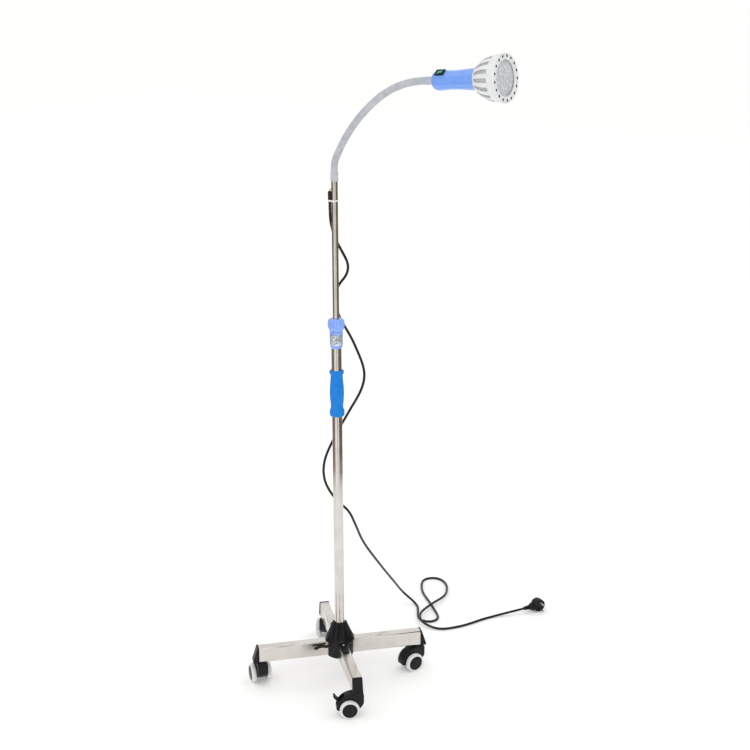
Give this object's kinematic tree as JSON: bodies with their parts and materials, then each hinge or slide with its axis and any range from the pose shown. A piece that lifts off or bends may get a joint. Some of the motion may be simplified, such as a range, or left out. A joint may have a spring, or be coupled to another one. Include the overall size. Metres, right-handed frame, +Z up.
{
  "type": "mobile_examination_lamp",
  "caption": "Mobile examination lamp: stainless base on twin-wheel casters, telescopic mast with lock nut, flexible gooseneck, hand-held LED head with a rocker switch, and a mains lead.",
  "frame": {"origin": "centre of the stand's footprint, on the floor under the wheels", "axes": "+Z up, +X the way the lamp head points, +Y to the head's left"},
  "size_m": [0.667, 0.8369, 1.6392],
  "materials": {
    "stainless_steel": "polished",
    "black_plastic": "satin",
    "wheel_plastic": "satin",
    "neck_sleeve": "satin",
    "blue_rubber": "satin",
    "blue_plastic": "gloss",
    "cord_rubber": "satin",
    "green_plastic": "gloss",
    "lens_plastic": "gloss",
    "brass_contact": "satin",
    "white_plastic": "satin"
  },
  "bodies": {
    "base": {"base_hub": "black_plastic", "hub_bolt": "stainless_steel", "leg_right": "stainless_steel", "end_cap_right": "black_plastic", "caster_stem_right": "stainless_steel", "leg_back": "stainless_steel", "end_cap_back": "black_plastic", "caster_stem_back": "stainless_steel", "leg_left": "stainless_steel", "end_cap_left": "black_plastic", "caster_stem_left": "stainless_steel", "leg_front": "stainless_steel", "end_cap_front": "black_plastic", "caster_stem_front": "stainless_steel", "lower_tube": "stainless_steel", "hand_grip": "blue_rubber", "collar_body": "blue_plastic", "collet": "white_plastic", "mains_cord": "cord_rubber", "mains_plug": "black_plastic"},
    "mast": {"upper_tube": "stainless_steel", "guide_bush": "white_plastic", "cable_tie": "white_plastic", "neck_base_ferrule": "neck_sleeve"},
    "lock_nut": {"lock_nut": "blue_plastic"},
    "neck_1": {"neck_piece_1": "neck_sleeve"},
    "neck_2": {"neck_piece_2": "neck_sleeve"},
    "neck_3": {"neck_piece_3": "neck_sleeve"},
    "neck_4": {"neck_piece_4": "neck_sleeve"},
    "head": {"neck_piece_5": "neck_sleeve", "neck_head_ferrule": "neck_sleeve", "handle": "blue_plastic", "switch_body": "black_plastic", "lamp_socket": "white_plastic", "lamp_screw_base": "brass_contact", "lamp_housing": "white_plastic", "vented_rim": "white_plastic", "lamp_lens": "lens_plastic", "led_board": "white_plastic"},
    "rocker": {"switch_rocker": "green_plastic"},
    "caster_right": {"caster_hood_right": "black_plastic", "caster_axle_right": "stainless_steel"},
    "wheel_right_a": {"caster_wheel_right_a": "wheel_plastic"},
    "wheel_right_b": {"caster_wheel_right_b": "wheel_plastic"},
    "caster_back": {"caster_hood_back": "black_plastic", "caster_axle_back": "stainless_steel"},
    "wheel_back_a": {"caster_wheel_back_a": "wheel_plastic"},
    "wheel_back_b": {"caster_wheel_back_b": "wheel_plastic"},
    "brake_back": {"brake_lever_back": "black_plastic"},
    "caster_left": {"caster_hood_left": "black_plastic", "caster_axle_left": "stainless_steel"},
    "wheel_left_a": {"caster_wheel_left_a": "wheel_plastic"},
    "wheel_left_b": {"caster_wheel_left_b": "wheel_plastic"},
    "caster_front": {"caster_hood_front": "black_plastic", "caster_axle_front": "stainless_steel"},
    "wheel_front_a": {"caster_wheel_front_a": "wheel_plastic"},
    "wheel_front_b": {"caster_wheel_front_b": "wheel_plastic"},
    "brake_front": {"brake_lever_front": "black_plastic"},
    "wing_screw_left": {"wing_screw_left": "black_plastic"},
    "wing_screw_right": {"wing_screw_right": "black_plastic"}
  },
  "joints": [
    {"name": "mast_slide", "type": "slide", "parent": "base", "child": "mast", "axis": [0, 0, 1], "range_m": [-0.27, 0.1], "deforming": ["mains_cord"]},
    {"name": "lock_nut_turn", "type": "hinge", "parent": "base", "child": "lock_nut", "pos_m": [-0.13648, -0.00432, 0.96], "axis": [0, 0, 1], "range_deg": [-180, 45]},
    {"name": "head_swivel", "type": "hinge", "parent": "mast", "child": "neck_1", "pos_m": [-0.13648, -0.00432, 1.317], "axis": [0, 0, 1], "range_deg": [-170, 170]},
    {"name": "neck_bend_1", "type": "hinge", "parent": "neck_1", "child": "neck_2", "pos_m": [-0.11749, -0.00432, 1.39607], "axis": [0, 1, 0], "range_deg": [-21, 21]},
    {"name": "neck_bend_2", "type": "hinge", "parent": "neck_2", "child": "neck_3", "pos_m": [-0.06888, -0.00432, 1.46341], "axis": [0, 1, 0], "range_deg": [-21, 21]},
    {"name": "neck_bend_3", "type": "hinge", "parent": "neck_3", "child": "neck_4", "pos_m": [-0.00744, -0.00432, 1.51929], "axis": [0, 1, 0], "range_deg": [-21, 21]},
    {"name": "neck_bend_4", "type": "hinge", "parent": "neck_4", "child": "head", "pos_m": [0.06652, -0.00432, 1.55651], "axis": [0, 1, 0], "range_deg": [-21, 21]},
    {"name": "rocker_tilt", "type": "hinge", "parent": "head", "child": "rocker", "pos_m": [0.16759, -0.0184, 1.58951], "axis": [-0.0548, 0.7986, 0.5993], "range_deg": [0, 16]},
    {"name": "caster_right_swivel", "type": "hinge", "parent": "base", "child": "caster_right", "pos_m": [0.0027, 0.15025, 0.06], "axis": [0, 0, 1], "continuous": true},
    {"name": "wheel_right_a_spin", "type": "hinge", "parent": "caster_right", "child": "wheel_right_a", "pos_m": [0.01394, 0.12452, 0.025], "axis": [0.9205, -0.3907, 0], "continuous": true},
    {"name": "wheel_right_b_spin", "type": "hinge", "parent": "caster_right", "child": "wheel_right_b", "pos_m": [-0.02362, 0.14046, 0.025], "axis": [0.9205, -0.3907, 0], "continuous": true},
    {"name": "caster_back_swivel", "type": "hinge", "parent": "base", "child": "caster_back", "pos_m": [-0.29105, 0.13486, 0.06], "axis": [0, 0, 1], "continuous": true},
    {"name": "wheel_back_a_spin", "type": "hinge", "parent": "caster_back", "child": "wheel_back_a", "pos_m": [-0.31799, 0.14279, 0.025], "axis": [-0.891, -0.454, 0], "continuous": true},
    {"name": "wheel_back_b_spin", "type": "hinge", "parent": "caster_back", "child": "wheel_back_b", "pos_m": [-0.28164, 0.16132, 0.025], "axis": [-0.891, -0.454, 0], "continuous": true},
    {"name": "brake_back_press", "type": "hinge", "parent": "caster_back", "child": "brake_back", "pos_m": [-0.3089, 0.16988, 0.039], "axis": [-0.891, -0.454, 0], "range_deg": [0, 22]},
    {"name": "caster_left_swivel", "type": "hinge", "parent": "base", "child": "caster_left", "pos_m": [-0.27566, -0.15889, 0.06], "axis": [0, 0, 1], "continuous": true},
    {"name": "wheel_left_a_spin", "type": "hinge", "parent": "caster_left", "child": "wheel_left_a", "pos_m": [-0.30335, -0.16357, 0.025], "axis": [-0.6018, -0.7986, 0], "continuous": true},
    {"name": "wheel_left_b_spin", "type": "hinge", "parent": "caster_left", "child": "wheel_left_b", "pos_m": [-0.2788, -0.13099, 0.025], "axis": [-0.6018, -0.7986, 0], "continuous": true},
    {"name": "caster_front_swivel", "type": "hinge", "parent": "base", "child": "caster_front", "pos_m": [0.01809, -0.1435, 0.06], "axis": [0, 0, 1], "continuous": true},
    {"name": "wheel_front_a_spin", "type": "hinge", "parent": "caster_front", "child": "wheel_front_a", "pos_m": [0.0174, -0.17157, 0.025], "axis": [0.6691, -0.7431, 0], "continuous": true},
    {"name": "wheel_front_b_spin", "type": "hinge", "parent": "caster_front", "child": "wheel_front_b", "pos_m": [-0.0099, -0.14125, 0.025], "axis": [0.6691, -0.7431, 0], "continuous": true},
    {"name": "brake_front_press", "type": "hinge", "parent": "caster_front", "child": "brake_front", "pos_m": [-0.01111, -0.1698, 0.039], "axis": [0.6691, -0.7431, 0], "range_deg": [0, 22]},
    {"name": "wing_screw_left_turn", "type": "hinge", "parent": "base", "child": "wing_screw_left", "pos_m": [-0.16072, -0.05516, 0.098], "axis": [0.7431, -0.6691, 0], "continuous": true},
    {"name": "wing_screw_right_turn", "type": "hinge", "parent": "base", "child": "wing_screw_right", "pos_m": [-0.11224, 0.04652, 0.098], "axis": [-0.7431, 0.6691, 0], "continuous": true}
  ],
  "couplings": [
    {"joint": "neck_bend_2", "follows": "neck_bend_1", "ratio": 1},
    {"joint": "neck_bend_3", "follows": "neck_bend_1", "ratio": 1},
    {"joint": "neck_bend_4", "follows": "neck_bend_1", "ratio": 1}
  ]
}
